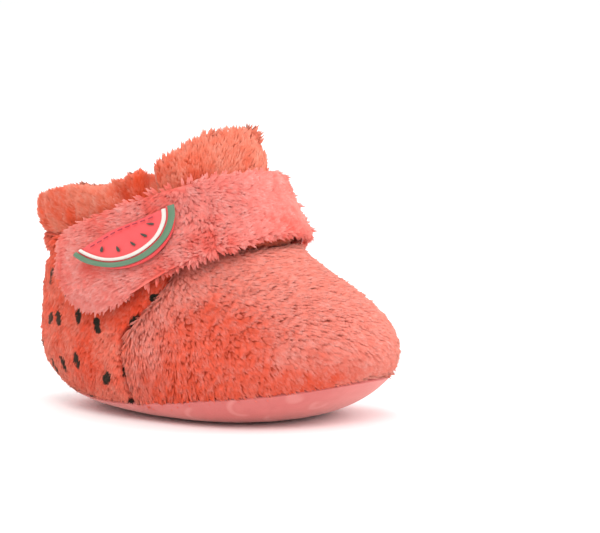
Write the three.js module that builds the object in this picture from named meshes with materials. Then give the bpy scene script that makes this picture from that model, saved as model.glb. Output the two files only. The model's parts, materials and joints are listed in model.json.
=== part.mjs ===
// A soft baby bootie for the right foot: a suede-like sole wrap, a padded plush toe panel, a plush
// heel panel, an ankle cuff, a tongue and a hook-and-loop strap with a fruit-slice badge.
// Millimetres, +Z up, toe towards -Y, outer side of the foot towards -X, origin under the middle of the sole.
import * as THREE from "three";
import { mergeVertices } from "three/addons/utils/BufferGeometryUtils.js";

const { lerp, smoothstep, degToRad } = THREE.MathUtils;

// Overall sizes of the bootie, outside the plush.
const shoeLength = 118;
const shoeWidth = 72;
const shoeHeight = 83;

// Fabric layers of the upper, from the outside in, and the room left between neighbours.
const plushThickness = 3.5;
const paddingThickness = 2;
const liningThickness = 1.4;
const layerGap = 0.35;
const seamGap = 0.7;

// Sole build-up.
const soleFabricThickness = 1.6;
const foamThickness = 2.6;
const footbedThickness = 2.2;

// Ankle elastic, sewn inside the heel panel.
const elasticWidth = 6;
const elasticThickness = 1.1;
const heelHeight = 46; // along the heel panel, from the sole to the cuff

// Strap and its hook-and-loop tapes.
const strapWidth = 29; // at the tab
const strapRootWidth = 24;
const strapPitch = degToRad(27); // how far the strap dips towards the heel
const strapHeight = 44.5; // of the strap's middle plane, along the plane's normal
const strapTabReach = 65; // from the front of the ankle round to the end of the tab
const strapRootReach = 45; // from the front of the ankle round to the sewn end
const strapTabRise = 2.5; // of the tab's end above that plane
const strapFlexAt = 9; // where the strap flexes as the tab is peeled
const strapPlushThickness = 3.6;
const strapBackingThickness = 1;
const strapRootLift = 0.65;
const tapeWidth = 15;
const tapeLength = 19;
const tapeThickness = 0.9;
const tapeGap = 0.35;

// Badge: a round slice, cut straight along its upper edge.
const badgeChord = 33;
const badgeDepth = 13.5;
const badgeTilt = degToRad(9);
const badgeAlong = 39; // from the front of the ankle to the badge's middle
const badgeAbove = 5.6; // of the cut edge above the strap's middle line
const badgeThickness = 1.1;
const badgeTipWidth = 0.8;
const rindHeight = 0.6;
const paleRindWidth = 1.1;
const greenRindWidth = 1.3;
const rindOverhang = 0.45; // of the green rind past the slice
const rindGap = 0.5;
const seedLength = 2.3;
const seedWidth = 1.2;
const seedHeight = 0.5;
const seedCount = 5;
const seedSpread = 0.62; // share of the slice that the row of seeds takes up
const seedMargin = 0.5;
const threadDiameter = 0.5;
const stitchLength = 2.4;
const stitchRise = 0.24;
const threadInset = 1.5; // from the cut edge
const threadEndInset = 5.5; // from each tip

// Shape of the shoe at the sizes above: for each level from the tread up, the front point (y, z),
// the side point (x, y, z) and the back point (y, z).
const drawnLength = 122;
const drawnWidth = 73;
const drawnHeight = 83;
const levels = [
  { front: [-1, 0], side: [0, -1, 0], back: [-1, 0] },
  { front: [-33, 0], side: [20, -10, 0], back: [32, 0] },
  { front: [-46.5, 5], side: [30, -11, 2.2], back: [48.5, 4.6] },
  { front: [-56, 12], side: [35.2, -10.5, 7.4], back: [57, 10.4] },
  { front: [-61, 20], side: [36.5, -10, 15], back: [60.5, 17] },
  { front: [-58, 28.5], side: [35.5, -7, 23], back: [60.5, 25] },
  { front: [-49, 36], side: [33, -2, 30.5], back: [60.5, 32] },
  { front: [-38, 41.5], side: [31, 6, 37.5], back: [60, 38] },
  { front: [-28, 46.5], side: [29, 14, 44], back: [57.5, 43] },
  { front: [-21, 52.5], side: [27.5, 20, 49.5], back: [59, 47.5] },
  { front: [-16, 61], side: [26.5, 23.5, 55], back: [61.5, 51.5] },
  { front: [-13, 72], side: [27, 25.5, 60], back: [63, 55.5] },
  { front: [-13, 83.5], side: [28.5, 27, 65], back: [62, 59.5] },
];
const toeSquareness = 2.35;
const heelSquareness = 2.05;
const topLevel = levels.length - 1;

// Levels and angles of the seams. An angle of 0 is the toe and 180 degrees the heel.
const heelSoleLevel = 2.25;
const toeSoleLevel = 3.05;
const throatLevel = 8.7;
const cuffSeamLevel = 9.3;
const cuffFrontDrop = 0.1;
const tongueSideDrop = 0.35;
const tongueSeamGap = 0.05;
const vampSideAngle = degToRad(104);
const tongueAngle = degToRad(58);
const vampCurveStart = 5;

// Depths of the layers below the outside.
const paddingDepth = plushThickness + layerGap;
const liningDepth = paddingDepth + paddingThickness + layerGap;
const wallDepth = liningDepth + liningThickness;
const foamDepth = soleFabricThickness + layerGap;
const footbedDepth = foamDepth + foamThickness + layerGap;

const profile = (pick) => new THREE.CatmullRomCurve3(levels.map(pick), false, "centripetal");
const scaled = (x, y, z) =>
  new THREE.Vector3(
    (x * shoeWidth) / drawnWidth,
    (y * shoeLength) / drawnLength,
    (z * shoeHeight) / drawnHeight,
  );
const frontProfile = profile(({ front }) => scaled(0, front[0], front[1]));
const sideProfile = profile(({ side }) => scaled(...side));
const backProfile = profile(({ back }) => scaled(0, back[0], back[1]));

// A point on a profile. The tread, up to the first level, is flat.
function onProfile(curve, level) {
  if (level < 1) return curve.points[0].clone().lerp(curve.points[1], level);
  return curve.getPoint(Math.min(level, topLevel) / topLevel);
}

// The outside of the shoe at an angle round it and a level up it.
function skin(angle, level) {
  const c = Math.cos(angle);
  const s = Math.sin(angle);
  const n = c > 0 ? toeSquareness : heelSquareness;
  const reach = Math.pow(Math.pow(Math.abs(c), n) + Math.pow(Math.abs(s), n), -1 / n);
  const side = onProfile(sideProfile, level);
  const end = onProfile(c > 0 ? frontProfile : backProfile, level);
  const along = Math.abs(c) * reach;
  return new THREE.Vector3(
    side.x * s * reach,
    side.y + (end.y - side.y) * along,
    side.z + (end.z - side.z) * along * along,
  );
}

function skinNormal(angle, level) {
  const step = 0.02;
  if (level < step) return new THREE.Vector3(0, 0, -1);
  const high = Math.min(level + step, topLevel);
  const round = skin(angle + step, level).sub(skin(angle - step, level));
  const up = skin(angle, high).sub(skin(angle, high - 2 * step));
  return round.cross(up).normalize();
}

// A point below the outside, or above it where the depth is negative.
const inside = (angle, level, depth) =>
  skin(angle, level).addScaledVector(skinNormal(angle, level), -depth);

// A closed solid between an outer and an inner grid of points. point(u, v, side) has side 1 outside
// and 0 inside. A grid that closes on itself round u has no end faces, and a pole at v = 0 has no rim.
function sheet({ columns, rows, point, closed = false, pole = false }) {
  const us = Array.isArray(columns) ? columns : steps(columns);
  const vs = Array.isArray(rows) ? rows : steps(rows);
  const places = [];
  const grid = [0, 1].map((side) =>
    us.map((u) =>
      vs.map((v) => {
        places.push(point(u, v, side));
        return places.length - 1;
      }),
    ),
  );
  const [inner, outer] = grid;
  const triangles = [];
  const quad = (a, b, c, d) => triangles.push(a, b, c, a, c, d);
  const lastU = us.length - 1;
  const lastV = vs.length - 1;
  for (let i = 0; i < lastU; i++) {
    for (let j = 0; j < lastV; j++) {
      quad(outer[i][j], outer[i + 1][j], outer[i + 1][j + 1], outer[i][j + 1]);
      quad(inner[i][j], inner[i][j + 1], inner[i + 1][j + 1], inner[i + 1][j]);
    }
    if (!pole) quad(outer[i + 1][0], outer[i][0], inner[i][0], inner[i + 1][0]);
    quad(outer[i][lastV], outer[i + 1][lastV], inner[i + 1][lastV], inner[i][lastV]);
  }
  for (let j = 0; j < lastV && !closed; j++) {
    quad(outer[0][j], outer[0][j + 1], inner[0][j + 1], inner[0][j]);
    quad(outer[lastU][j + 1], outer[lastU][j], inner[lastU][j], inner[lastU][j + 1]);
  }
  return closedGeometry(places, triangles);
}

const steps = (count) => Array.from({ length: count + 1 }, (_, i) => i / count);

// Merges the points that meet and drops the triangles that this leaves with no area.
function closedGeometry(places, triangles) {
  const loose = new THREE.BufferGeometry()
    .setAttribute("position", new THREE.Float32BufferAttribute(places.flatMap((p) => p.toArray()), 3))
    .setIndex(triangles);
  const merged = mergeVertices(loose, 1e-3);
  const kept = [];
  for (let i = 0; i < merged.index.count; i += 3) {
    const [a, b, c] = [0, 1, 2].map((k) => merged.index.getX(i + k));
    if (a !== b && b !== c && c !== a) kept.push(a, b, c);
  }
  merged.setIndex(kept);
  merged.computeVertexNormals();
  return merged;
}

// The seam between sole and upper rises from the heel to the toe.
const soleSeam = (angle) =>
  lerp(heelSoleLevel, toeSoleLevel, smoothstep(Math.cos(angle), -0.6, 0.4));

// The angle of the seam between toe panel and heel panel, and above the throat that of the tongue's edge.
const sideSeam = (level) =>
  lerp(vampSideAngle, tongueAngle, smoothstep(level, vampCurveStart, throatLevel));

// One layer of a panel that runs between two seams. from and to give the angles at a level, bottom
// and top the levels at an angle.
function panel({ columns, rows, from, to, bottom, top, depth, thickness }) {
  const point = (u, v, side) => {
    let angle = 0;
    let level = 0;
    for (let pass = 0; pass < 6; pass++) {
      level = lerp(bottom(angle), top(angle), v);
      angle = lerp(from(level), to(level), u);
    }
    return inside(angle, level, side ? depth : depth + thickness);
  };
  return sheet({ columns, rows, point });
}

// How far round the shoe that gap reaches near its sides, and how much of a level it is.
const gapAngle = seamGap / (shoeWidth / 2);
const levelGap = 0.08;

// All the layers of a panel share one grid, so that their facets stay parallel.
const upperLayers = [
  { name: "plush", depth: 0, thickness: plushThickness },
  { name: "padding", depth: paddingDepth, thickness: paddingThickness },
  { name: "lining", depth: liningDepth, thickness: liningThickness },
];

const vampLayer = ({ depth, thickness }) =>
  panel({
    columns: 16,
    rows: 8,
    from: (level) => -sideSeam(level) + gapAngle,
    to: (level) => sideSeam(level) - gapAngle,
    bottom: (angle) => soleSeam(angle) + levelGap,
    top: () => throatLevel - levelGap,
    depth,
    thickness,
  });

// The heel panel's uppermost row holds the elastic in place of the padding.
const quarterRows = 7;
const quarterColumns = 22;
const elasticFoot = 1 - elasticWidth / heelHeight;
const elasticInset = 3; // columns of the panel that it stops short of each side seam

const quarterPanel = (layer) =>
  panel({
    columns: quarterColumns,
    from: (level) => sideSeam(level) + gapAngle,
    to: (level) => 2 * Math.PI - sideSeam(level) - gapAngle,
    bottom: (angle) => soleSeam(angle) + levelGap,
    top: () => cuffSeamLevel - levelGap,
    ...layer,
  });

function quarterLayer({ name, depth, thickness }) {
  const rows = steps(quarterRows - 1).map((v) => v * elasticFoot);
  return quarterPanel({ rows: name === "padding" ? rows : [...rows, 1], depth, thickness });
}

const heelElastic = () =>
  quarterPanel({
    columns: steps(quarterColumns).slice(elasticInset, quarterColumns + 1 - elasticInset),
    rows: [elasticFoot + seamGap / heelHeight, 1],
    depth: paddingDepth + layerGap,
    thickness: elasticThickness,
  });

const cuff = () =>
  panel({
    columns: 22,
    rows: 4,
    from: () => tongueAngle + 2 * gapAngle,
    to: () => 2 * Math.PI - tongueAngle - 2 * gapAngle,
    bottom: () => cuffSeamLevel + levelGap,
    top: (angle) => topLevel - cuffFrontDrop * smoothstep(Math.cos(angle), -0.5, 0.6),
    depth: 0,
    thickness: wallDepth,
  });

const tongueLayer = (depth, thickness) =>
  panel({
    columns: 10,
    rows: 6,
    from: () => -tongueAngle + gapAngle,
    to: () => tongueAngle - gapAngle,
    bottom: () => throatLevel - levelGap + tongueSeamGap,
    top: (angle) => topLevel - tongueSideDrop * smoothstep(angle, 0.2, 0.9),
    depth,
    thickness,
  });

// The layers of the sole run out from a pole through the same levels. The outsole goes on up to the
// seam with the upper, as the two rows past level 2.
const solePlate = (rows, depth, thickness) =>
  sheet({
    columns: 32,
    rows,
    closed: true,
    pole: true,
    point: (u, v, side) => {
      const angle = u * 2 * Math.PI;
      const level = v <= 2 ? v : lerp(2, soleSeam(angle), v - 2);
      return inside(angle, level, side ? depth : depth + thickness);
    },
  });

// The strap lies on the shoe in a band between two parallel planes. A place on it is given by the
// distance along its middle line from the front of the ankle, negative towards the tab, the height
// above that line, and the lift off the shoe.
const strapNormal = new THREE.Vector3(0, Math.sin(strapPitch), Math.cos(strapPitch));
const strapPlane = (strapHeight * shoeHeight) / drawnHeight;
const tabRiseAngle = 1.9; // how far round the shoe the tab has risen

function bandLevel(angle, height) {
  const wanted = strapPlane + height + strapTabRise * smoothstep(-angle, 0, tabRiseAngle);
  let low = 4;
  let high = topLevel;
  for (let pass = 0; pass < 30; pass++) {
    const middle = (low + high) / 2;
    if (skin(angle, middle).dot(strapNormal) < wanted) low = middle;
    else high = middle;
  }
  return (low + high) / 2;
}

const middleLine = (() => {
  const stations = [];
  const sweep = degToRad(150);
  const count = 150;
  let travelled = 0;
  let last = null;
  for (let i = -count; i <= count; i++) {
    const angle = (i / count) * sweep;
    const place = skin(angle, bandLevel(angle, 0));
    if (last) travelled += place.distanceTo(last);
    last = place;
    stations.push({ angle, travelled });
  }
  const front = stations[count].travelled;
  return stations.map(({ angle, travelled: t }) => ({ angle, along: t - front }));
})();

function bandAngle(along) {
  const next = Math.max(1, middleLine.findIndex((s) => s.along > along));
  const a = middleLine[next - 1];
  const b = middleLine[next];
  return lerp(a.angle, b.angle, (along - a.along) / (b.along - a.along));
}

function onBand(along, height, lift) {
  const angle = bandAngle(along);
  return inside(angle, bandLevel(angle, height), -lift);
}

// Lift of the strap's underside: down on the shoe at the sewn end, over both tapes at the tab.
const tabLift = 3 * tapeGap + 2 * tapeThickness + 0.1;
const strapUnderside = (along) =>
  lerp(tabLift, strapRootLift, smoothstep(along, -strapFlexAt, strapRootReach));
const backingTop = (along) => strapUnderside(along) + strapBackingThickness;
const strapTop = (along) => backingTop(along) + layerGap + strapPlushThickness;

const halfStrap = strapWidth / 2;
const halfRoot = strapRootWidth / 2;
const strapWidest = -35; // along the strap, where it reaches its full width
const tabCorner = halfStrap - 1.5; // the tab's end is almost a half circle

// Half the strap's width at a place along it.
function strapHalfWidth(along) {
  const into = -along - (strapTabReach - tabCorner);
  if (into <= 0) return lerp(halfStrap, halfRoot, smoothstep(along, strapWidest, 0));
  return halfStrap - tabCorner + Math.sqrt(Math.max(0, tabCorner * tabCorner - into * into));
}

const bandStations = steps(11).map((u) => lerp(strapRootReach, -strapFlexAt + seamGap / 2, u)).reverse();
const cornerStations = [0, 25, 45, 65, 85].map(
  (degrees) => -(strapTabReach - tabCorner) - tabCorner * Math.sin(degToRad(degrees)),
);
const tabStations = [
  ...steps(6).map((u) => lerp(-strapFlexAt - seamGap / 2, cornerStations[0], u)).slice(0, -1),
  ...cornerStations,
].reverse();

// One layer of the strap over those stations. The plush is thinner along its edges.
const strapLayer = (stations, bottom, top, crown, trim) =>
  sheet({
    columns: stations,
    rows: 6,
    point: (along, v, side) => {
      const across = 2 * v - 1;
      const height = across * (strapHalfWidth(along) - trim);
      const full = 1 - crown * across ** 4;
      return onBand(along, height, side ? lerp(bottom(along), top(along), full) : bottom(along));
    },
  });
const backingTrim = 1.2;
const plushCrown = 0.45;
const strapBacking = (stations) => strapLayer(stations, strapUnderside, backingTop, 0, backingTrim);
const strapPlush = (stations) =>
  strapLayer(stations, (along) => backingTop(along) + layerGap, strapTop, plushCrown, 0);

const tapeMiddle = -(strapTabReach - tabCorner - tapeLength / 2 + 1);
const tape = (bottom) =>
  sheet({
    columns: steps(7).map((u) => tapeMiddle + lerp(-tapeLength / 2, tapeLength / 2, u)),
    rows: 4,
    point: (along, v, side) =>
      onBand(along, lerp(-tapeWidth / 2, tapeWidth / 2, v), side ? bottom + tapeThickness : bottom),
  });

// The badge's own plane: across runs along the cut edge towards the toe, down away from the edge.
const badgeLift = strapTop(-badgeAlong) + layerGap;
const badgeStretch = onBand(1 - badgeAlong, 0, badgeLift).distanceTo(onBand(-1 - badgeAlong, 0, badgeLift)) / 2;

function onBadge(across, down, lift) {
  const c = Math.cos(badgeTilt);
  const s = Math.sin(badgeTilt);
  const along = (across * c + down * s) / badgeStretch - badgeAlong;
  return onBand(along, badgeAbove + across * s - down * c, badgeLift + lift);
}

const halfChord = badgeChord / 2;
const badgeRadius = (halfChord * halfChord + badgeDepth * badgeDepth) / (2 * badgeDepth);
const badgeSweep = Math.asin(halfChord / badgeRadius);

// A place between the cut edge and the round edge, by the angle from the slice's middle and the
// distance in from the round edge.
const onSlice = (turn, inset, lift) =>
  onBadge(
    (badgeRadius - inset) * Math.sin(turn),
    (badgeRadius - inset) * Math.cos(turn) - (badgeRadius - badgeDepth),
    lift,
  );

// The base is a little deeper than the slice, so that it has some width at the tips.
const badgeBase = () =>
  sheet({
    columns: 16,
    rows: 4,
    point: (u, v, side) => {
      const across = lerp(-halfChord, halfChord, u);
      const drop = Math.sqrt(badgeRadius * badgeRadius - across * across) - (badgeRadius - badgeDepth);
      const down = lerp(Math.max(drop, 0) + badgeTipWidth, 0, v);
      return onBadge(across, down, side ? badgeThickness : 0);
    },
  });

const rindLift = badgeThickness + layerGap;
const rind = (inset, width, sweep) =>
  sheet({
    columns: steps(18).map((u) => lerp(-sweep, sweep, u)),
    rows: 2,
    point: (turn, v, side) => {
      const rounded = 1 - 0.7 * (2 * v - 1) ** 2;
      return onSlice(turn, lerp(inset, inset + width, v), rindLift + (side ? rindHeight * rounded : 0));
    },
  });
const paleInset = greenRindWidth + rindGap;

// A seed is a small teardrop pad whose point faces the cut edge.
function seed(index) {
  const turn = lerp(-seedSpread, seedSpread, index / (seedCount - 1)) * badgeSweep;
  const middle = paleInset + paleRindWidth + seedMargin + seedLength;
  const centre = { x: (badgeRadius - middle) * Math.sin(turn), y: (badgeRadius - middle) * Math.cos(turn) };
  return sheet({
    columns: steps(10),
    rows: 1,
    closed: true,
    pole: true,
    point: (u, v, side) => {
      const around = -u * 2 * Math.PI;
      const pinch = 0.73 + 0.45 * Math.cos(around); // narrower towards the point
      const across = (seedWidth / 2) * Math.sin(around) * pinch * v;
      const down = (seedLength / 2) * Math.cos(around) * v;
      const x = centre.x + across * Math.cos(turn) + down * Math.sin(turn);
      const y = centre.y - across * Math.sin(turn) + down * Math.cos(turn) - (badgeRadius - badgeDepth);
      return onBadge(x, y, rindLift + (side ? seedHeight * (1 - 0.5 * v) : 0));
    },
  });
}

// The thread that sews the cut edge: a fine cord whose stitches stand up from the badge in turn.
function badgeThread() {
  const run = badgeChord - 2 * threadEndInset;
  const stitches = Math.round(run / stitchLength);
  const count = stitches * 4;
  const points = steps(count).map((u) => {
    const rise = (stitchRise / 2) * (1 - Math.cos(u * stitches * 2 * Math.PI));
    return onBadge(lerp(-run / 2, run / 2, u), threadInset, rindLift + threadDiameter / 2 + rise);
  });
  const section = new THREE.Shape().absarc(0, 0, threadDiameter / 2, 0, 2 * Math.PI);
  return new THREE.ExtrudeGeometry(section, {
    curveSegments: 3,
    steps: count,
    extrudePath: new THREE.CatmullRomCurve3(points),
  });
}

// Each material as the real one looks.
const material = (colour, roughness) =>
  new THREE.MeshStandardMaterial({ color: colour, roughness, metalness: 0 });
const materials = {
  sole: material(0xe58a84, 0.9),
  foam: material(0xf3e6da, 0.95),
  lining: material(0xf0a090, 0.95),
  padding: material(0xf4efe6, 1),
  vamp: material(0xec6f5e, 1),
  quarter: material(0xee6a4e, 1),
  cuff: material(0xf0714f, 1),
  strap: material(0xee6c66, 1),
  backing: material(0xd9655c, 0.9),
  hook: material(0xe8736a, 0.7),
  loop: material(0xe0675c, 1),
  elastic: material(0xf2ede4, 0.9),
  flesh: material(0xf45f62, 0.5),
  pale: material(0xf3ece4, 0.4),
  green: material(0x5f9068, 0.4),
  seed: material(0x2c332b, 0.5),
  thread: material(0xf08f8c, 0.6),
};

const bootie = new THREE.Group();
function add(name, geometry, finish) {
  const mesh = new THREE.Mesh(geometry, materials[finish]);
  mesh.name = name;
  bootie.add(mesh);
}

add("outsole", solePlate([0, 1, 1.5, 2, 2.5, 3], 0, soleFabricThickness), "sole");
add("sole_foam", solePlate([0, 1, 1.5, 2], foamDepth, foamThickness), "foam");
add("footbed", solePlate([0, 1, 1.5, 1.8], footbedDepth, footbedThickness), "lining");

for (const layer of upperLayers) {
  add(`vamp_${layer.name}`, vampLayer(layer), layer.name === "plush" ? "vamp" : layer.name);
  add(`quarter_${layer.name}`, quarterLayer(layer), layer.name === "plush" ? "quarter" : layer.name);
}
add("heel_elastic", heelElastic(), "elastic");
add("ankle_cuff", cuff(), "cuff");
add("tongue_plush", tongueLayer(0, plushThickness), "cuff");
add("tongue_lining", tongueLayer(paddingDepth, liningThickness), "lining");

add("loop_tape", tape(tapeGap), "loop");
add("hook_tape", tape(2 * tapeGap + tapeThickness), "hook");
add("strap_band_backing", strapBacking(bandStations), "backing");
add("strap_band_plush", strapPlush(bandStations), "strap");
add("strap_tab_backing", strapBacking(tabStations), "backing");
add("strap_tab_plush", strapPlush(tabStations), "strap");

add("badge_base", badgeBase(), "flesh");
add("badge_green_rind", rind(-rindOverhang, rindOverhang + greenRindWidth, badgeSweep), "green");
add("badge_pale_rind", rind(paleInset, paleRindWidth, badgeSweep * 0.97), "pale");
for (let i = 0; i < seedCount; i++) add(`badge_seed_${i + 1}`, seed(i), "seed");
add("badge_thread", badgeThread(), "thread");

export default bootie;
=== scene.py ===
import json
import math

import bpy
from mathutils import Matrix, Vector


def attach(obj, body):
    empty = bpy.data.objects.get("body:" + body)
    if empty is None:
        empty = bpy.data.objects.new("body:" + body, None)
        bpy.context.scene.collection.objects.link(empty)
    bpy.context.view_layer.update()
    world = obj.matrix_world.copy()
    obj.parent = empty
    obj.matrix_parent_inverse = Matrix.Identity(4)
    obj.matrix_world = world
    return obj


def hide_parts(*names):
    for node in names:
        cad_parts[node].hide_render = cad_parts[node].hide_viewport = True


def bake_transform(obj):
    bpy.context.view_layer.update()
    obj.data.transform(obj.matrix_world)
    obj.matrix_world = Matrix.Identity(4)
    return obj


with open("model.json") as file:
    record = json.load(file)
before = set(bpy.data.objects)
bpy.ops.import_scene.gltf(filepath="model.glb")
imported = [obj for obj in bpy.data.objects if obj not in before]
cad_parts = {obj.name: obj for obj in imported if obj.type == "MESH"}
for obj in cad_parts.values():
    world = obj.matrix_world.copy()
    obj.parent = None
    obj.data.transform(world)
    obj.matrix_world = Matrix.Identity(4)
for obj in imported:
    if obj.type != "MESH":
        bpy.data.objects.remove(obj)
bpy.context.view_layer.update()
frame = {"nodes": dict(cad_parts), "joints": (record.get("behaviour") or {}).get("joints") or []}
nodes = frame["nodes"]
joints = {joint["name"]: joint for joint in frame["joints"]}
mm = 0.001


def deselectAll():
    bpy.ops.object.select_all(action="DESELECT")


def activate(obj):
    deselectAll()
    obj.select_set(True)
    bpy.context.view_layer.objects.active = obj


class EditMode:  # edit mode on one object, selecting by faces, edges or points
    def __init__(self, obj, select="FACE"):
        self.obj, self.select = obj, select

    def __enter__(self):
        activate(self.obj)
        kinds = ("VERT", "EDGE", "FACE")
        bpy.context.tool_settings.mesh_select_mode = [self.select == kind for kind in kinds]
        bpy.ops.object.mode_set(mode="EDIT")

    def __exit__(self, *error):
        bpy.ops.object.mode_set(mode="OBJECT")


def pickFaces(obj, test):
    mesh = obj.data
    mesh.vertices.foreach_set("select", [False] * len(mesh.vertices))
    mesh.edges.foreach_set("select", [False] * len(mesh.edges))
    mesh.polygons.foreach_set("select", [bool(test(face)) for face in mesh.polygons])


def applyModifier(obj, kind, **settings):
    modifier = obj.modifiers.new(kind.lower(), kind)
    for name, value in settings.items():
        setattr(modifier, name, value)
    activate(obj)
    bpy.ops.object.modifier_apply(modifier=modifier.name)


def smooth(obj, degrees=None):
    activate(obj)
    if degrees is None:
        bpy.ops.object.shade_smooth()
    else:
        bpy.ops.object.shade_smooth_by_angle(angle=math.radians(degrees))


merge = {"distance": 0.01, "faceDegrees": 70, "shapeDegrees": 120}


def copyOf(nodeName, name):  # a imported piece's mesh, as quads where it was drawn as quads
    obj = nodes[nodeName].copy()
    obj.data = nodes[nodeName].data.copy()
    for key in list(obj.keys()):
        del obj[key]
    obj.name = obj.data.name = name
    obj.parent = None
    obj.matrix_world = Matrix.Identity(4)
    obj.data.materials.clear()
    bpy.context.scene.collection.objects.link(obj)
    with EditMode(obj, "VERT"):
        bpy.ops.mesh.select_all(action="SELECT")
        bpy.ops.mesh.remove_doubles(threshold=merge["distance"] * mm)
        bpy.ops.mesh.customdata_custom_splitnormals_clear()
        bpy.ops.mesh.tris_convert_to_quads(face_threshold=math.radians(merge["faceDegrees"]),
                                           shape_threshold=math.radians(merge["shapeDegrees"]))
        bpy.ops.mesh.normals_make_consistent(inside=False)
    return obj


def finished(obj, body, material, replaced=()):
    obj.data.materials.clear()
    obj.data.materials.append(material)
    if body:
        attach(obj, body)
    if replaced:
        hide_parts(*replaced)
    return obj


class Wire:  # an output socket, with the sums that are made of it
    def __init__(self, board, socket):
        self.board, self.socket = board, socket

    def sum(self, operation, *values):
        return self.board.node("ShaderNodeMath", {"operation": operation}, dict(enumerate(values)))

    def floor(self):
        return self.sum("FLOOR", self)

    def ceiling(self):
        return self.sum("CEIL", self)

    def remainder(self, other):
        return self.sum("MODULO", self, other)

    def bearing(self, other):  # the angle of the point (other, self), in radians
        return self.sum("ARCTAN2", self, other)

    def __add__(self, other):
        return self.sum("ADD", self, other)

    __radd__ = __add__

    def __sub__(self, other):
        return self.sum("SUBTRACT", self, other)

    def __rsub__(self, other):
        return self.sum("SUBTRACT", other, self)

    def __mul__(self, other):
        return self.sum("MULTIPLY", self, other)

    __rmul__ = __mul__

    def __truediv__(self, other):
        return self.sum("DIVIDE", self, other)

    def __pow__(self, other):
        return self.sum("POWER", self, other)

    def out(self, name):  # another output of the same node
        return Wire(self.board, self.socket.node.outputs[name])

    def between(self, low, high):  # 0 below low, 1 above high, smooth between them
        return self.board.node("ShaderNodeMapRange", {"interpolation_type": "SMOOTHSTEP"},
                               {"Value": self, "From Min": low, "From Max": high})


class Board:  # a node tree under construction
    def __init__(self, tree):
        self.tree = tree

    def node(self, kind, settings=None, sockets=None, output=0):
        made = self.tree.nodes.new(kind)
        for name, value in (settings or {}).items():
            setattr(made, name, value)
        for key, value in (sockets or {}).items():
            socket = made.inputs[key]
            if isinstance(value, Wire):
                self.tree.links.new(value.socket, socket)
            elif value is not None:
                socket.default_value = value
        return Wire(self, made.outputs[output]) if made.outputs else made

    def mix(self, share, first, second):
        first, second = [(*v, 1) if isinstance(v, tuple) else v for v in (first, second)]
        return self.node("ShaderNodeMix", {"data_type": "RGBA"}, {0: share, 6: first, 7: second}, output=2)

    def noise(self, place, scale, detail=2, rough=0.5):
        return self.node("ShaderNodeTexNoise", None,
                         {"Vector": place, "Scale": scale, "Detail": detail, "Roughness": rough})

    def vector(self, operation, *values, output=0):
        return self.node("ShaderNodeVectorMath", {"operation": operation}, dict(enumerate(values)), output)

    def bump(self, strength, distance, height):
        return self.node("ShaderNodeBump", None,
                         {"Strength": strength, "Distance": distance, "Height": height})

    def scaled(self, vector, amount):
        return self.node("ShaderNodeVectorMath", {"operation": "SCALE"}, {0: vector, "Scale": amount})

    def split(self, vector):
        parts = self.node("ShaderNodeSeparateXYZ", None, {"Vector": vector})
        return [parts.out(axis) for axis in ("X", "Y", "Z")]

    def joined(self, **axes):
        return self.node("ShaderNodeCombineXYZ", None, axes)

    def attribute(self, name, kind):
        return self.node("GeometryNodeInputNamedAttribute", {"data_type": kind}, {"Name": name})

    def random(self, low, high, index, seed):
        return self.node("FunctionNodeRandomValue", {"data_type": "FLOAT"},
                         {2: low, 3: high, "ID": index, "Seed": seed}, output=1)


def linear(colour):  # a colour as seen on a screen, made linear
    return tuple(c / 12.92 if c <= 0.04045 else ((c + 0.055) / 1.055) ** 2.4 for c in colour)


def newMaterial(name, build, **fixed):
    material = bpy.data.materials.new(name)
    material.use_nodes = True
    tree = material.node_tree
    tree.nodes.clear()
    board = Board(tree)
    varied = build(board)
    sockets = {**fixed, **varied}
    shader = board.node("ShaderNodeBsdfPrincipled", None, sockets)
    board.node("ShaderNodeOutputMaterial", None, {"Surface": shader})
    return material


def objectPlace(board):
    return board.node("ShaderNodeTexCoord", output="Object")


view = {"azimuth": -52, "elevation": 8, "distance": 1.4, "lens": 288, "sensor": 36,
        "aimRight": 0.0251, "aimUp": 0.0418}
studio = {"world": 1.0, "key": 11, "fill": 13, "rim": 9, "aimHeight": 0.04, "floorSize": 12}


def aim(obj, target):
    obj.rotation_euler = (target - obj.location).to_track_quat("-Z", "Y").to_euler()


def makeCamera():
    azimuth, elevation = math.radians(view["azimuth"]), math.radians(view["elevation"])
    away = Vector((math.sin(azimuth) * math.cos(elevation), -math.cos(azimuth) * math.cos(elevation),
                   math.sin(elevation)))
    right = Vector((0, 0, 1)).cross(away).normalized()
    up = away.cross(right)
    data = bpy.data.cameras.new("camera")
    data.lens, data.sensor_width = view["lens"], view["sensor"]
    data.clip_start, data.clip_end = 0.05, 20
    camera = bpy.data.objects.new("camera", data)
    bpy.context.scene.collection.objects.link(camera)
    camera.location = away * view["distance"]
    aim(camera, right * view["aimRight"] + up * view["aimUp"])
    bpy.context.scene.camera = camera


def makeLight(name, place, size, power, colour):
    data = bpy.data.lights.new(name, "AREA")
    data.size, data.energy, data.color = size, power, colour
    light = bpy.data.objects.new(name, data)
    bpy.context.scene.collection.objects.link(light)
    light.location = place
    aim(light, Vector((0, 0, studio["aimHeight"])))


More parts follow.
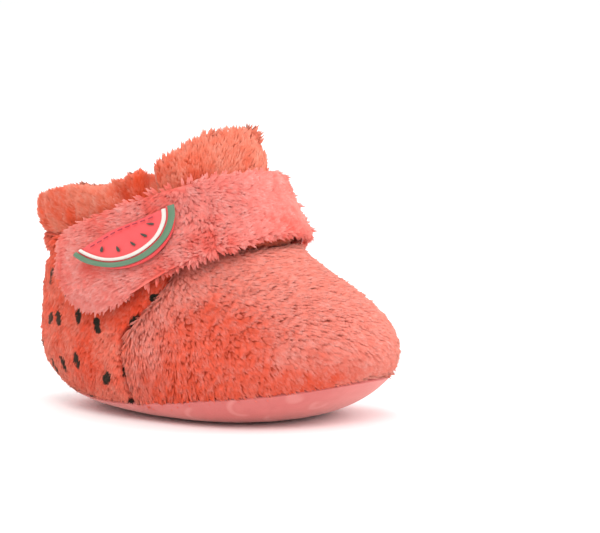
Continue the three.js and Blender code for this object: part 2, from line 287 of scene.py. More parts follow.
def makeStudio():
    bpy.ops.mesh.primitive_plane_add(size=studio["floorSize"], location=(0, 0, 0))
    floor = bpy.context.object
    floor.name = "floor"

    def paper(board):
        grain = board.noise(objectPlace(board), 300, 3)
        dull, bright = [linear((grey,) * 3) for grey in (0.965, 0.985)]
        return {"Base Color": board.mix(grain, dull, bright)}

    floor.data.materials.append(newMaterial("floorPaper", paper, Roughness=0.9))
    world = bpy.data.worlds.new("studio")
    world.use_nodes = True
    background = world.node_tree.nodes["Background"]
    background.inputs["Color"].default_value = (1, 1, 1, 1)
    background.inputs["Strength"].default_value = studio["world"]
    bpy.context.scene.world = world
    makeLight("keyLight", (-0.9, -0.7, 1.3), 0.9, studio["key"], (1, 0.985, 0.97))
    makeLight("fillLight", (1.1, -0.9, 0.7), 1.2, studio["fill"], (0.97, 0.985, 1))
    makeLight("rimLight", (0.3, 1.2, 0.9), 1.0, studio["rim"], (1, 1, 1))
    bpy.context.scene.view_settings.view_transform = "Standard"


deselectAll()
makeCamera()
makeStudio()
print("stage: camera, floor and light")


# A tuft is one millimetre high before it is scaled. Its hairs stand in a ring, near and far by turns.
tuftShape = {"hairs": 4, "spread": 0.42, "near": 0.55, "thickness": 0.32, "waist": 0.5, "root": -0.1,
             "bend": 0.4, "waistBend": 0.3, "gather": 0.8, "pick": 0.1}


def moveAtHeight(hair, height, step):  # the points at about one height, moved together
    mesh = hair.data
    pickFaces(hair, lambda face: False)
    low, high = height - tuftShape["pick"], height + tuftShape["pick"]
    for vertex in mesh.vertices:
        vertex.select = low * mm <= vertex.co.z <= high * mm
    with EditMode(hair, "VERT"):
        bpy.ops.transform.translate(value=step)


def makeHair(side, lean):  # one bent hair, closed, pointed at both ends and one millimetre high
    waist, rise = tuftShape["waist"], 1 - tuftShape["waist"]
    bpy.ops.mesh.primitive_cone_add(vertices=3, radius1=tuftShape["thickness"] / 2 * mm, radius2=0,
                                    depth=rise * mm, location=(side[0], side[1], (waist + rise / 2) * mm),
                                    rotation=(0, 0, math.atan2(side[1], side[0])))
    hair = bpy.context.object
    bpy.ops.object.transform_apply(location=True, rotation=True, scale=True)
    pickFaces(hair, lambda face: face.normal.z < -0.9)
    with EditMode(hair):
        bpy.ops.mesh.poke(offset=(waist - tuftShape["root"]) * mm)
    moveAtHeight(hair, 1, (lean[0], lean[1], 0))
    moveAtHeight(hair, waist, (lean[0] * tuftShape["waistBend"], lean[1] * tuftShape["waistBend"], 0))
    return hair


def makeTuft():
    hairs = []
    count = tuftShape["hairs"]
    for i in range(count):
        turn = 2 * math.pi * i / count
        reach = tuftShape["spread"] * (1 if i % 2 else tuftShape["near"])
        side = (reach * math.cos(turn) * mm, reach * math.sin(turn) * mm, 0)
        lean = (tuftShape["bend"] * mm - side[0] * tuftShape["gather"], -side[1] * tuftShape["gather"])
        hairs.append(makeHair(side, lean))
    deselectAll()
    for hair in hairs:
        hair.select_set(True)
    bpy.context.view_layer.objects.active = hairs[0]
    bpy.ops.object.join()
    tuft = hairs[0]
    tuft.name = "tuft"
    mesh = tuft.data
    for layer in list(mesh.uv_layers):
        mesh.uv_layers.remove(layer)
    uv = mesh.uv_layers.new(name="OFBake")  # each hair has a strip of the tuft's own square
    perHair = len(mesh.vertices) // count
    pile = mesh.attributes.new("pile", "FLOAT", "POINT")
    for vertex in mesh.vertices:
        pile.data[vertex.index].value = max(0, vertex.co.z / mm)
    for face in mesh.polygons:
        for k, corner in enumerate(face.loop_indices):
            vertex = mesh.loops[corner].vertex_index
            strip = vertex // perHair
            height = max(0, mesh.vertices[vertex].co.z / mm)
            share = k / (len(face.loop_indices) - 1)
            uv.data[corner].uv = ((strip + 0.15 + 0.7 * share) / count, height)
    smooth(tuft)
    tuft.hide_render = tuft.hide_viewport = True
    return tuft


def growPile(obj, tuft, coat):  # covers the faces marked "furry" with tufts, combed as the coat says
    tree = bpy.data.node_groups.new(obj.name + "Pile", "GeometryNodeTree")
    tree.interface.new_socket("Geometry", in_out="INPUT", socket_type="NodeSocketGeometry")
    tree.interface.new_socket("Geometry", in_out="OUTPUT", socket_type="NodeSocketGeometry")
    board = Board(tree)
    skin = board.node("NodeGroupInput")
    points = board.node("GeometryNodeDistributePointsOnFaces", {"distribute_method": "RANDOM"},
                        {"Mesh": skin, "Selection": board.attribute("furry", "BOOLEAN"),
                         "Density": coat["density"] / mm ** 2, "Seed": coat["seed"]})
    normal = points.out("Normal")
    place = board.node("GeometryNodeInputPosition")
    index = board.node("GeometryNodeInputIndex")

    def noiseVector(scale):
        return board.vector("SUBTRACT", board.noise(place, scale).out("Color"), (0.5, 0.5, 0.5))

    comb = board.vector("ADD", coat["comb"], board.scaled(noiseVector(coat["swirlScale"]), coat["swirl"]))
    along = board.vector("DOT_PRODUCT", comb, normal, output="Value")
    flat = board.vector("NORMALIZE", board.vector("SUBTRACT", comb, board.scaled(normal, along)))
    clumpNoise = board.noise(place, coat["clumpScale"], 3, 0.6)
    leaning = (0.35 + 1.3 * clumpNoise.between(0.3, 0.7)) * coat["lean"]
    flat = board.scaled(flat, leaning)
    stray = (coat["jitter"],) * 3
    jitter = board.node("FunctionNodeRandomValue", {"data_type": "FLOAT_VECTOR"},
                        {"Min": tuple(-c for c in stray), "Max": stray, "ID": index, "Seed": 3})
    way = board.vector("ADD", board.vector("ADD", normal, flat), jitter)
    way = board.vector("ADD", way, board.scaled(noiseVector(coat["clumpScale"] * 1.3), coat["clump"]))
    turn = board.joined(Z=board.random(0.0, 0.6, index, 5))
    aimed = board.node("FunctionNodeAlignRotationToVector", {"axis": "Z"}, {"Vector": way})
    # the tuft's own bend falls the way the coat is combed
    aimed = board.node("FunctionNodeAlignRotationToVector", {"axis": "X", "pivot_axis": "Z"},
                       {"Rotation": aimed, "Vector": flat})
    spinning = board.node("FunctionNodeEulerToRotation", None, {"Euler": turn})
    rotation = board.node("FunctionNodeRotateRotation", {"rotation_space": "LOCAL"},
                          {"Rotation": aimed, "Rotate By": spinning})
    longer = board.random(0.7, 1.15, index, 7)
    tall = longer * (0.75 + 0.5 * clumpNoise.between(0.35, 0.65)) * coat["length"]
    size = board.joined(X=coat["width"], Y=coat["width"], Z=tall)
    tuftInfo = board.node("GeometryNodeObjectInfo", {"transform_space": "ORIGINAL"}, {"Object": tuft},
                          output="Geometry")

    def store(geometry, name, value, kind, domain):
        return board.node("GeometryNodeStoreNamedAttribute", {"data_type": kind, "domain": domain},
                          {"Geometry": geometry, "Name": name, "Value": value})

    marked = store(points, "shade", board.random(0.0, 1.0, index, 11), "FLOAT", "POINT")
    marked = store(marked, "rootNormal", normal, "FLOAT_VECTOR", "POINT")
    marked = store(marked, "clump", index, "FLOAT", "POINT")
    grown = board.node("GeometryNodeInstanceOnPoints", None,
                       {"Points": marked, "Instance": tuftInfo, "Rotation": rotation, "Scale": size})
    grown = board.node("GeometryNodeRealizeInstances", None, {"Geometry": grown})

    # every tuft has its own square of the map, above the strip that the skin uses
    total = board.node("GeometryNodeAttributeDomainSize", {"component": "POINTCLOUD"}, {"Geometry": points})
    side = (total ** 0.5).ceiling()
    clump = board.attribute("clump", "FLOAT")
    ownU, ownV = board.split(board.attribute("OFBake", "FLOAT_VECTOR"))[:2]
    column, row = clump.remainder(side), (clump / side).floor()
    mapped = board.joined(X=(column + 0.05 + 0.9 * ownU) / side,
                          Y=0.1 + 0.9 * (row + 0.05 + 0.9 * ownV) / side)
    grown = store(grown, "OFBake", mapped, "FLOAT2", "CORNER")
    px, py, pz = board.split(place)
    around = px.bearing(py - 0.01)
    skinMap = board.joined(X=around / (2 * math.pi) + 0.5, Y=0.002 + pz * 1.1)
    skin = store(skin, "OFBake", skinMap, "FLOAT2", "CORNER")
    skin = store(skin, "rootNormal", board.node("GeometryNodeInputNormal"), "FLOAT_VECTOR", "POINT")
    joined = board.node("GeometryNodeJoinGeometry", None, {"Geometry": grown})
    tree.links.new(skin.socket, joined.socket.node.inputs[0])
    board.node("NodeGroupOutput", None, {0: joined})
    modifier = obj.modifiers.new("pile", "NODES")
    modifier.node_group = tree
    activate(obj)
    bpy.ops.object.modifier_apply(modifier=modifier.name)
    softenNormals(obj, coat["softness"])
    print("stage: pile on", obj.name, len(obj.data.polygons), "faces")


tipShare = 0.25


def softenNormals(obj, share):  # hairs are shaded partly as the cloth that they grow from
    mesh = obj.data
    smooth(obj)
    roots, pile = mesh.attributes["rootNormal"].data, mesh.attributes["pile"].data
    blended = []
    for i, own in enumerate(mesh.vertex_normals):
        part = share * (1 - tipShare * pile[i].value)  # the tips keep more of their own shading
        root, normal = Vector(roots[i].vector), Vector(own.vector)
        rooted = root.length > 0.1
        blended.append((normal * (1 - part) + root * part).normalized() if rooted else normal)
    mesh.normals_split_custom_set_from_vertices(blended)
    for name in ("rootNormal", "clump", "furry"):
        if mesh.attributes.get(name):
            mesh.attributes.remove(mesh.attributes[name])


def fleckMask(board, place, fleck):  # dark seed-like marks on the heel, each turned its own way
    px, py, pz = board.split(place)
    around = px.bearing(py - fleck["middle"] * mm)
    spot = board.joined(X=around * (fleck["radius"] / fleck["pitch"]) + fleck["offset"],
                        Y=pz / (fleck["pitch"] * mm))
    cell = board.node("ShaderNodeTexVoronoi", {"feature": "F1", "voronoi_dimensions": "2D"},
                      {"Vector": spot, "Scale": 1, "Randomness": fleck["scatter"]})
    away = board.vector("SUBTRACT", spot, cell.out("Position"))
    chance = board.node("ShaderNodeSeparateColor", None, {"Color": cell.out("Color")})
    turn = (chance.out("Red") - 0.5) * fleck["turn"]
    away = board.node("ShaderNodeVectorRotate", {"rotation_type": "Z_AXIS"},
                      {"Vector": away, "Angle": turn})
    across, up = board.split(away)[:2]
    across, up = across / fleck["width"], up / fleck["height"]
    reach = (across * across + up * up) ** 0.5
    ragged = board.noise(place, 700, 2) - 0.5
    mark = 1 - (reach + ragged * 1.3).between(0.85, 1.2)
    return mark * (1 - pz.between(fleck["top"] * mm, (fleck["top"] + 1) * mm))


def plushMaterial(name, colours, blotchAndShade, fleck=None):
    deep, main, pale = [linear(c) for c in colours]

    def build(board):
        place = objectPlace(board)
        pile = board.node("ShaderNodeAttribute", {"attribute_name": "pile"}).out("Fac")
        shade = board.node("ShaderNodeAttribute", {"attribute_name": "shade"}).out("Fac")
        height = board.node("ShaderNodeSeparateXYZ", None, {"Vector": place}).out("Z")
        broad = board.noise(place, blotchAndShade["scale"], 3, 0.6)
        # painted shade: a positive rise moves the patches towards the deep colour lower down, a negative
        # rise higher up
        broad = broad + (height / mm - blotchAndShade["middle"]) * blotchAndShade["rise"]
        patches = broad.between(blotchAndShade["low"], blotchAndShade["high"])
        if "spot" in blotchAndShade:  # a deeper patch around one point where the pile is parted: partly the deeper roots showing, partly painted shade
            away = board.vector("SUBTRACT", place, tuple(c * mm for c in blotchAndShade["spot"]))
            wander = (board.noise(place, 110, 3, 0.6) - 0.5) * blotchAndShade["spotWander"]
            reach = board.vector("LENGTH", away, output="Value") / mm + wander
            inside, outside = [blotchAndShade["spotSize"] * share for share in (0.55, 1.1)]
            patches = patches * (0.15 + 0.85 * reach.between(inside, outside))
        fine = board.noise(place, 420, 3, 0.6).between(0.3, 0.7)
        body = board.mix(patches, deep, main)
        tip = board.mix((0.2 + 0.5 * shade) * (0.35 + 0.65 * patches) + 0.25 * fine, body, pale)
        colour = board.mix(pile ** 1.3 * (0.3 + 0.7 * fine), body, tip)
        if fleck:
            colour = board.mix(fleckMask(board, place, fleck), colour, linear((0.14, 0.15, 0.12)))
        return {"Base Color": colour}

    return newMaterial(name, build, Roughness=0.9,
                       **{"Sheen Weight": 0.3, "Sheen Roughness": 0.5,
                          "Sheen Tint": (*linear((1.0, 0.74, 0.66)), 1), "Specular IOR Level": 0.15})


def nearestCore(point, core):  # the middle of the foot nearest to a point, which tells outside from inside
    return Vector((0, min(max(point.y, core["y"][0] * mm), core["y"][1] * mm),
                   min(max(point.z, core["z"][0] * mm), core["z"][1] * mm)))


def outwardness(centre, normal, core):
    return normal.dot((centre - nearestCore(centre, core)).normalized())


facing = {"outer": 0.45, "padded": 0.6, "furry": -0.1, "strapFurry": -0.35, "strapEnd": 0.97}
creaseDegrees = 48


def creaseCorners(obj, crease):
    pickFaces(obj, lambda face: False)
    with EditMode(obj, "EDGE"):
        bpy.ops.mesh.edges_select_sharp(sharpness=math.radians(creaseDegrees))
        bpy.ops.transform.edge_crease(value=crease)


def shapeCloth(obj, core, settings):  # the cloth under the pile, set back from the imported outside
    pickFaces(obj, lambda face: outwardness(face.center, face.normal, core) > facing["outer"])
    with EditMode(obj):
        bpy.ops.transform.shrink_fatten(value=-settings["setBack"] * mm)
    if settings.get("rimBack"):
        pickFaces(obj, lambda face: abs(outwardness(face.center, face.normal, core)) < facing["outer"]
                  and face.center.z > settings["rimAbove"] * mm)
        with EditMode(obj):
            bpy.ops.transform.shrink_fatten(value=-settings["rimBack"] * mm)
    creaseCorners(obj, settings["crease"])
    applyModifier(obj, "SUBSURF", levels=2, render_levels=2)
    smooth(obj)


simulation = {"quality": 6, "mass": 0.15, "frames": 20}


def swell(obj, core, padding):  # the padded cloth filled out between its seams
    if not padding:
        return
    mesh = obj.data
    held = obj.vertex_groups.new(name="held")
    free = set()
    for face in mesh.polygons:
        if outwardness(face.center, face.normal, core) > facing["padded"]:
            free.update(face.vertices)
    for face in mesh.polygons:
        if outwardness(face.center, face.normal, core) <= facing["padded"]:
            free.difference_update(face.vertices)
    held.add([v.index for v in mesh.vertices if v.index not in free], 1, "REPLACE")
    before = [v.co.copy() for v in mesh.vertices]
    grow = padding["workScale"]
    mesh.transform(Matrix.Scale(grow, 4))
    cloth = obj.modifiers.new("cloth", "CLOTH")
    cloth.settings.quality = simulation["quality"]
    cloth.settings.mass = simulation["mass"]
    cloth.settings.use_pressure = True
    cloth.settings.uniform_pressure_force = padding["pressure"]
    cloth.settings.shrink_min = -padding["ease"]
    cloth.settings.bending_stiffness = padding["stiffness"]
    cloth.settings.effector_weights.gravity = 0
    cloth.settings.vertex_group_mass = held.name
    for number in range(simulation["frames"]):
        bpy.context.scene.frame_set(number + 1)
    activate(obj)
    bpy.ops.object.modifier_apply(modifier=cloth.name)
    bpy.context.scene.frame_set(1)
    mesh = obj.data
    mesh.transform(Matrix.Scale(1 / grow, 4))
    cap = padding["cap"] * mm
    moved = 0
    for vertex, start in zip(mesh.vertices, before):
        step = vertex.co - start
        if step.length > cap:
            step *= cap / step.length
        moved = max(moved, step.length)
        vertex.co = start + step
    obj.vertex_groups.clear()
    smooth(obj)
    print("stage: swelled", obj.name, f"by up to {moved / mm:.2f} mm")


def markFurry(obj, test):
    mesh = obj.data
    furry = mesh.attributes.new("furry", "BOOLEAN", "FACE")
    furry.data.foreach_set("value", [bool(test(face)) for face in mesh.polygons])
    mesh.attributes.new("pile", "FLOAT", "POINT")
    mesh.attributes.new("shade", "FLOAT", "POINT")


tuft = makeTuft()
salmon = {
    "vamp": ((0.94, 0.33, 0.20), (0.94, 0.49, 0.42), (0.96, 0.68, 0.64)),
    "quarter": ((0.93, 0.29, 0.16), (0.93, 0.42, 0.33), (0.95, 0.62, 0.55)),
    "cuff": ((0.94, 0.32, 0.17), (0.95, 0.48, 0.37), (0.97, 0.68, 0.60)),
    "strap": ((0.94, 0.39, 0.34), (0.95, 0.50, 0.46), (0.97, 0.72, 0.69)),
}
# In each of these tables scale, low and high set the plush's own colour patches; middle, rise and the
# vamp's spot add painted shade.
plush = {
    "vamp": plushMaterial("vampPlush", salmon["vamp"],
                          {"scale": 42, "low": 0.24, "high": 0.5, "middle": 24, "rise": 0.010,
                           "spot": (-30, -25, 18), "spotSize": 22, "spotWander": 26}),
    "quarter": plushMaterial("quarterPlush", salmon["quarter"],
                             {"scale": 60, "low": 0.38, "high": 0.65, "middle": 24, "rise": -0.006},
                             {"middle": 18, "radius": 37, "pitch": 11.5, "scatter": 0.6, "turn": 2.2,
                              "width": 0.135, "height": 0.22, "top": 47, "offset": 0.55}),
    "cuff": plushMaterial("cuffPlush", salmon["cuff"],
                          {"scale": 70, "low": 0.35, "high": 0.66, "middle": 62, "rise": 0.008}),
    "strap": plushMaterial("strapPlush", salmon["strap"],
                           {"scale": 90, "low": 0.3, "high": 0.6, "middle": 50, "rise": 0}),
}

# Lengths are in millimetres, and densities in tufts to the square millimetre.
shortCoat = {"density": 2.8, "length": 3.2, "width": 0.95, "lean": 2.1, "jitter": 0.14, "clump": 0.4,
             "clumpScale": 330, "swirl": 0.8, "swirlScale": 45, "softness": 0.94}
vampPanel = {
    "core": {"y": (-34, 12), "z": (17, 20)}, "setBack": 1.5, "crease": 0.55,
    "padding": {"pressure": 5, "ease": 0.01, "stiffness": 0.5, "cap": 1.3, "workScale": 6},
    "coat": {**shortCoat, "seed": 1, "comb": (0.5, -0.35, -0.65)},
}
quarterPanel = {
    "core": {"y": (4, 34), "z": (16, 50)}, "setBack": 1.4, "crease": 0.55,
    "padding": {"pressure": 5, "ease": 0.02, "stiffness": 0.4, "cap": 1.2, "workScale": 6},
    "coat": {**shortCoat, "seed": 2, "length": 2.8, "comb": (0.0, 0.3, -1.0)},
}
cuffPanel = {
    "lifts": [{"height": 2.6, "across": (14, 20), "along": (26, 6), "above": (56, 66)},
              {"height": 2.6, "across": (-14, -20), "along": (26, 6), "above": (56, 66)}],
    "core": {"y": (14, 34), "z": (44, 80)}, "setBack": 1.6, "rimBack": 1.6, "rimAbove": 56, "crease": 0.05,
    "padding": {"pressure": 4, "ease": 0.05, "stiffness": 0.15, "cap": 2.2, "workScale": 6},
    "coat": {**shortCoat, "seed": 3, "length": 2.8, "lean": 1.8, "comb": (0.25, 0.5, 0.7)},
}
tonguePanel = {
    "lifts": [{"height": 2.4, "across": (-3, -14), "along": (-40, -30), "above": (58, 72)},
              {"height": -4.5, "across": (7, 17), "along": (-40, -30), "above": (62, 80)}],
    "core": {"y": (12, 20), "z": (44, 88)}, "setBack": 1.6, "rimBack": 1.6, "rimAbove": 62, "crease": 0.05,
    "padding": {"pressure": 4, "ease": 0.06, "stiffness": 0.15, "cap": 2.0, "workScale": 6},
    "coat": {**shortCoat, "seed": 4, "length": 2.8, "lean": 1.8, "comb": (0.3, 0.35, 0.85)},
}


def liftShoulders(obj, lifts):  # raises or lowers the corners of an upper edge
    for vertex in obj.data.vertices:
        x, y, z = (c / mm for c in vertex.co)
        for lift in lifts:
            share = 1.0
            for value, (start, end) in ((x, lift["across"]), (y, lift["along"]), (z, lift["above"])):
                t = min(max((value - start) / (end - start), 0), 1)
                share *= t * t * (3 - 2 * t)
            vertex.co.z += share * lift["height"] * mm


def makePanel(name, node, panel, material, body, replaced, furryTest=None):
    obj = copyOf(node, name)
    core = panel["core"]
    shapeCloth(obj, core, panel)
    liftShoulders(obj, panel.get("lifts", []))
    swell(obj, core, panel["padding"])
    markFurry(obj, furryTest or (
        lambda face: outwardness(face.center, face.normal, core) > facing["furry"]))
    growPile(obj, tuft, panel["coat"])
    finished(obj, body, material, replaced)
    return obj


makePanel("vampPlush", "vamp_plush", vampPanel, plush["vamp"], "shoe",
          ["vamp_plush", "vamp_padding"])
makePanel("quarterPlush", "quarter_plush", quarterPanel, plush["quarter"], "shoe",
          ["quarter_plush", "quarter_padding"])
makePanel("anklePlush", "ankle_cuff", cuffPanel, plush["cuff"], "shoe", ["ankle_cuff"],
          lambda face: True)
tongue = makePanel("tonguePlush", "tongue_plush", tonguePanel, plush["cuff"], None,
                   ["tongue_plush"])
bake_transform(tongue)
print("stage: panels")


strapPiece = {
    "core": {"y": (4, 30), "z": (30, 60)}, "setBack": 1.7, "rimBack": 0.9, "rimAbove": 0, "crease": 0.1,
    "coat": {**shortCoat, "seed": 6, "density": 3.1, "length": 2.9, "comb": (0.6, 0.5, -0.4), "lean": 1.6,
             "clump": 0.6, "clumpScale": 240, "jitter": 0.2},
    "cut": (0.016, -0.017, 0.057), "cutNormal": (0.92, 0.4, 0.0), "rootBend": 13, "tabBend": 7,
    "joinReach": 2, "ankleMiddle": 20,
}
flexPoint = Vector(joints["tab_peel"]["pos_m"])
strapAxis = Vector(joints["tab_peel"]["axis"])
ankleCentre = Vector((0, strapPiece["ankleMiddle"] * mm, flexPoint.z))
flexRun = -strapAxis.cross(flexPoint - ankleCentre).normalized()  # along the strap, towards its free end


def wholeStrap(name, bandNode, tabNode):  # the two stiff lengths joined into one soft one
    band, tab = copyOf(bandNode, name), copyOf(tabNode, name + "Tab")
    for piece in (band, tab):
        near = strapPiece["joinReach"] * mm
        pickFaces(piece, lambda face: abs((face.center - flexPoint).dot(flexRun)) < near
                  and abs(face.normal.dot(flexRun)) > 0.75)
        with EditMode(piece):
            bpy.ops.mesh.delete(type="FACE")
    deselectAll()
    tab.select_set(True)
    band.select_set(True)
    bpy.context.view_layer.objects.active = band
    bpy.ops.object.join()
    pickFaces(band, lambda face: False)
    with EditMode(band, "EDGE"):
        bpy.ops.mesh.select_non_manifold()
        bpy.ops.mesh.bridge_edge_loops()
        bpy.ops.mesh.select_all(action="SELECT")
        bpy.ops.mesh.normals_make_consistent(inside=False)
    return band


def cutStrap(strap, name):  # the sewn end as a piece of its own
    root = strap.copy()
    root.data = strap.data.copy()
    root.name = root.data.name = name
    bpy.context.scene.collection.objects.link(root)
    for piece, inner in ((strap, False), (root, True)):
        pickFaces(piece, lambda face: True)
        with EditMode(piece):
            bpy.ops.mesh.select_all(action="SELECT")
            bpy.ops.mesh.bisect(plane_co=strapPiece["cut"], plane_no=strapPiece["cutNormal"], use_fill=True,
                                clear_inner=inner, clear_outer=not inner)
    return root


def bendStrap(front, root):
    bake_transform(front)
    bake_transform(root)


def makeStrap():
    core = strapPiece["core"]
    front = wholeStrap("strapPlush", "strap_band_plush", "strap_tab_plush")
    shapeCloth(front, core, strapPiece)
    root = cutStrap(front, "strapRootPlush")
    cutNormal = Vector(strapPiece["cutNormal"]).normalized()
    for piece, replaced in ((front, "strap_tab_plush"), (root, "strap_band_plush")):
        markFurry(piece, lambda face: abs(face.normal.dot(cutNormal)) < facing["strapEnd"]
                  and outwardness(face.center, face.normal, core) > facing["strapFurry"])
        growPile(piece, tuft, strapPiece["coat"])
        finished(piece, None, plush["strap"], [replaced])
    bendStrap(front, root)


def wovenMaterial(name, colour, scale):
    base = linear(colour)

    def build(board):
        place = objectPlace(board)
        warp, weft = [
            board.node("ShaderNodeTexWave", {"wave_type": "BANDS", "bands_direction": direction},
                       {"Vector": place, "Scale": pitch, "Distortion": 0.4, "Detail": 1}, output="Fac")
            for direction, pitch in (("DIAGONAL", scale), ("Z", scale * 1.3))]
        height = warp * weft
        # painted shade: the low parts of the weave are darkened
        colour = board.mix(height, tuple(c * 0.8 for c in base), base)
        bump = board.bump(0.4, 0.0002, height)
        return {"Base Color": colour, "Normal": bump}

    return newMaterial(name, build, Roughness=0.85, **{"Sheen Weight": 0.2})


backing = {"rimBack": 1.6, "colour": (0.85, 0.40, 0.36), "weave": 900}


def makeBacking():
    front = wholeStrap("strapBacking", "strap_band_backing", "strap_tab_backing")
    pickFaces(front, lambda face: abs(face.normal.dot(strapAxis)) > 0.7)
    with EditMode(front):
        bpy.ops.transform.shrink_fatten(value=-backing["rimBack"] * mm)
    applyModifier(front, "SUBSURF", levels=1, render_levels=1, subdivision_type="SIMPLE")
    smooth(front, 50)
    root = cutStrap(front, "strapRootBacking")
    woven = wovenMaterial("strapWoven", backing["colour"], backing["weave"])
    finished(front, None, woven, ["strap_tab_backing"])
    finished(root, None, woven, ["strap_band_backing"])
    bendStrap(front, root)


makeStrap()
bpy.data.objects.remove(tuft)
makeBacking()
print("stage: strap")


crescent = {"scale": 75, "inner": (0.22, 0.3), "outer": (0.32, 0.4), "strength": 0.3}


def suedeMaterial():
    soft, dark, pale = [linear(c) for c in ((0.86, 0.49, 0.47), (0.80, 0.41, 0.395), (0.93, 0.66, 0.63))]

    def build(board):
        place = objectPlace(board)
        clouds = board.noise(place, 70, 4, 0.6)
        nap = board.noise(place, 1500, 3, 0.7)
        spread = board.vector("MULTIPLY", place, (crescent["scale"],) * 3)
        cell = board.node("ShaderNodeTexVoronoi", {"feature": "F1"},
                          {"Vector": spread, "Scale": 1, "Randomness": 0.8})
        away = board.vector("SUBTRACT", spread, cell.out("Position"))
        reach = board.vector("LENGTH", away, output="Value")
        ring = reach.between(*crescent["inner"]) * (1 - reach.between(*crescent["outer"]))
        side = board.node("ShaderNodeSeparateXYZ", None, {"Vector": away}).out("Y").between(0.0, 0.15)
        colour = board.mix(clouds.between(0.3, 0.75) * 0.7 + nap * 0.3, dark, soft)
        colour = board.mix(ring * side * crescent["strength"], colour, pale)
        bump = board.bump(0.35, 0.0003, nap + clouds)
        return {"Base Color": colour, "Normal": bump, "Roughness": 0.75 + 0.15 * nap}

    return newMaterial("soleSuede", build, **{"Sheen Weight": 0.5, "Sheen Roughness": 0.35,
                                              "Sheen Tint": (*linear((1.0, 0.85, 0.82)), 1)})


def fleeceMaterial():
    def build(board):
        place = objectPlace(board)
        curls = board.node("ShaderNodeTexVoronoi", {"feature": "SMOOTH_F1"},
                           {"Vector": place, "Scale": 900, "Smoothness": 0.6}, output="Distance")
        lumps = board.noise(place, 500, 4, 0.7)
        # painted shade: the hollows between the curls take the darker colour; the lumps also mix it in at
        # random
        top, hollow = linear((0.94, 0.62, 0.53)), linear((0.86, 0.46, 0.38))
        colour = board.mix(curls * 0.6 + lumps * 0.4, top, hollow)
        bump = board.bump(0.7, 0.0006, lumps - curls)
        return {"Base Color": colour, "Normal": bump}

    return newMaterial("liningFleece", build, Roughness=0.95, **{"Sheen Weight": 0.4})


def makeRounded(node, name, body, material, crease=0.9, levels=2):
    obj = copyOf(node, name)
    creaseCorners(obj, crease)
    applyModifier(obj, "SUBSURF", levels=levels, render_levels=levels)
    smooth(obj, 50)
    return finished(obj, body, material, [node])


def tapeMaterial(name, colour, tape):  # rows of hooks, or a mat of loops
    base = linear(colour)

    def build(board):
        place = objectPlace(board)
        knots = board.node("ShaderNodeTexVoronoi", {"feature": "F1"},
                           {"Vector": place, "Scale": tape["scale"], "Randomness": tape["randomness"]},
                           output="Distance")
        fuzz = board.noise(place, tape["scale"] * 1.7, 4, 0.75)
        height = (1 - knots) * tape["knots"] + fuzz * tape["fuzz"]
        # painted shade: the low parts between the hooks and loops are darkened
        tint = board.mix(height.between(0.3, 0.9), tuple(c * 0.62 for c in base), base)
        bump = board.bump(0.9, 0.0005, height)
        return {"Base Color": tint, "Normal": bump}

    return newMaterial(name, build, Roughness=tape["roughness"], **{"Sheen Weight": tape["sheen"]})


heelFill = {"along": (8, 42), "longer": 5.5, "wider": 0.1}


def fillHeel(obj):  # the footbed's soft edge, spread until it meets the heel's lining
    start, end = heelFill["along"]
    for vertex in obj.data.vertices:
        share = min(max((vertex.co.y / mm - start) / (end - start), 0), 1) ** 2
        vertex.co.x *= 1 + share * heelFill["wider"]
        vertex.co.y += share * heelFill["longer"] * mm


suede, fleece = suedeMaterial(), fleeceMaterial()
makeRounded("outsole", "soleWrap", "shoe", suede)
footbed = makeRounded("footbed", "footbedFleece", "shoe", fleece)
fillHeel(footbed)
makeRounded("vamp_lining", "vampLining", "shoe", fleece)
makeRounded("quarter_lining", "quarterLining", "shoe", fleece)
tongueLining = makeRounded("tongue_lining", "tongueLining", None, fleece)
lowerRim = {"height": -1.8, "across": (-60, -50), "along": (-40, -30), "above": (60, 76)}
liftShoulders(tongueLining, tonguePanel["lifts"] + [lowerRim])
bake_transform(tongueLining)
foam = newMaterial("soleFoam", lambda board: {"Base Color": board.mix(
    board.noise(objectPlace(board), 900, 3),
    linear((0.90, 0.60, 0.53)), linear((0.94, 0.68, 0.61)))}, Roughness=0.9)
makeRounded("sole_foam", "foamSheet", "shoe", foam)
elasticWoven = wovenMaterial("elasticWoven", (0.95, 0.92, 0.88), 1400)
makeRounded("heel_elastic", "heelElastic", "shoe", elasticWoven)
loopTape = tapeMaterial("loopTape", (0.90, 0.46, 0.42), {
    "scale": 1300, "randomness": 1.0, "knots": 0.3, "fuzz": 0.9, "roughness": 0.9, "sheen": 0.4})
hookTape = tapeMaterial("hookTape", (0.92, 0.55, 0.51), {
    "scale": 900, "randomness": 0.15, "knots": 0.9, "fuzz": 0.15, "roughness": 0.45, "sheen": 0.0})
makeRounded("loop_tape", "loopTape", "shoe", loopTape, levels=1)
makeRounded("hook_tape", "hookTape", "strap_tab", hookTape, levels=1)
print("stage: sole, linings and tapes")


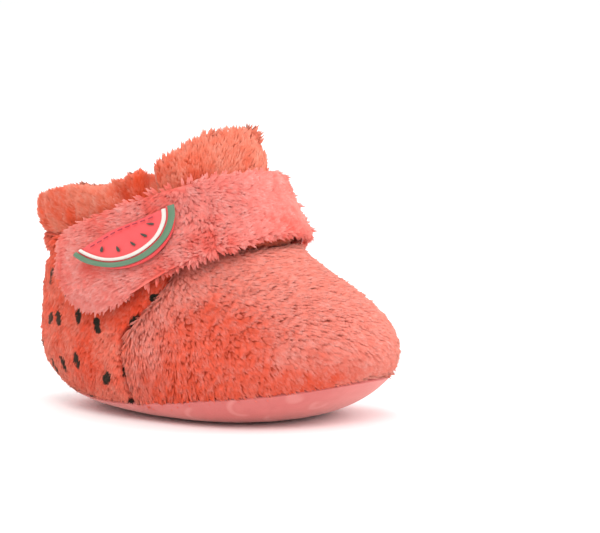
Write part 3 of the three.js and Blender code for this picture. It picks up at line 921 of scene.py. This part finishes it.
def badgeMaterial(name, colour, rough=0.45):
    base = linear(colour)

    def build(board):
        place = objectPlace(board)
        grainNoise = board.noise(place, 3000, 2)
        wear = board.noise(place, 160, 3, 0.6)
        tint = board.mix(wear.between(0.35, 0.7) * 0.35, base, tuple(min(1, c * 0.8 + 0.05) for c in base))
        bump = board.bump(0.15, 0.0001, grainNoise)
        return {"Base Color": tint, "Normal": bump, "Roughness": rough + 0.15 * grainNoise}

    return newMaterial(name, build)


for node, name, slot, finish, colour in (
        ("badge_base", "badgeFlesh", "flesh", "badgeFlesh", (0.91, 0.30, 0.31)),
        ("badge_green_rind", "badgeGreenRind", "green", "badgeGreen", (0.33, 0.47, 0.36)),
        ("badge_pale_rind", "badgePaleRind", "pale", "badgePale", (0.88, 0.85, 0.82))):
    makeRounded(node, name, "strap_tab", badgeMaterial(finish, colour))
seedFinish = badgeMaterial("badgeSeed", (0.20, 0.22, 0.17), 0.35)
for i in range(1, 6):
    makeRounded(f"badge_seed_{i}", f"badgeSeed{i}", "strap_tab", seedFinish, crease=0.3)


stitches = {"count": 9, "share": 0.66, "colour": (0.66, 0.16, 0.22)}


def makeStitches():  # the thread along the badge's straight edge, cut into its visible stitches
    whole = copyOf("badge_thread", "badgeThread")
    ends = sorted((vertex.co.copy() for vertex in whole.data.vertices), key=lambda point: point.y)
    first, run = ends[0], ends[-1] - ends[0]
    margin = (1 - stitches["share"]) / 2
    pieces = []
    for i in range(stitches["count"]):
        piece = whole.copy()
        piece.data = whole.data.copy()
        bpy.context.scene.collection.objects.link(piece)
        for place, past in ((i, False), (i + stitches["share"], True)):
            pickFaces(piece, lambda face: True)
            with EditMode(piece):
                bpy.ops.mesh.select_all(action="SELECT")
                cut = first + run * (place + margin) / stitches["count"]
                bpy.ops.mesh.bisect(plane_co=cut, plane_no=run.normalized(), use_fill=True,
                                    clear_outer=past, clear_inner=not past)
        pieces.append(piece)
    bpy.data.objects.remove(whole)
    activate(pieces[0])
    for piece in pieces:
        piece.select_set(True)
    bpy.ops.object.join()
    thread = pieces[0]
    thread.name = thread.data.name = "badgeThread"
    applyModifier(thread, "SUBSURF", levels=1, render_levels=1)
    smooth(thread, 50)
    dyed = badgeMaterial("badgeThread", stitches["colour"], 0.6)
    finished(thread, "strap_tab", dyed, ["badge_thread"])


makeStitches()
print("stage: badge")
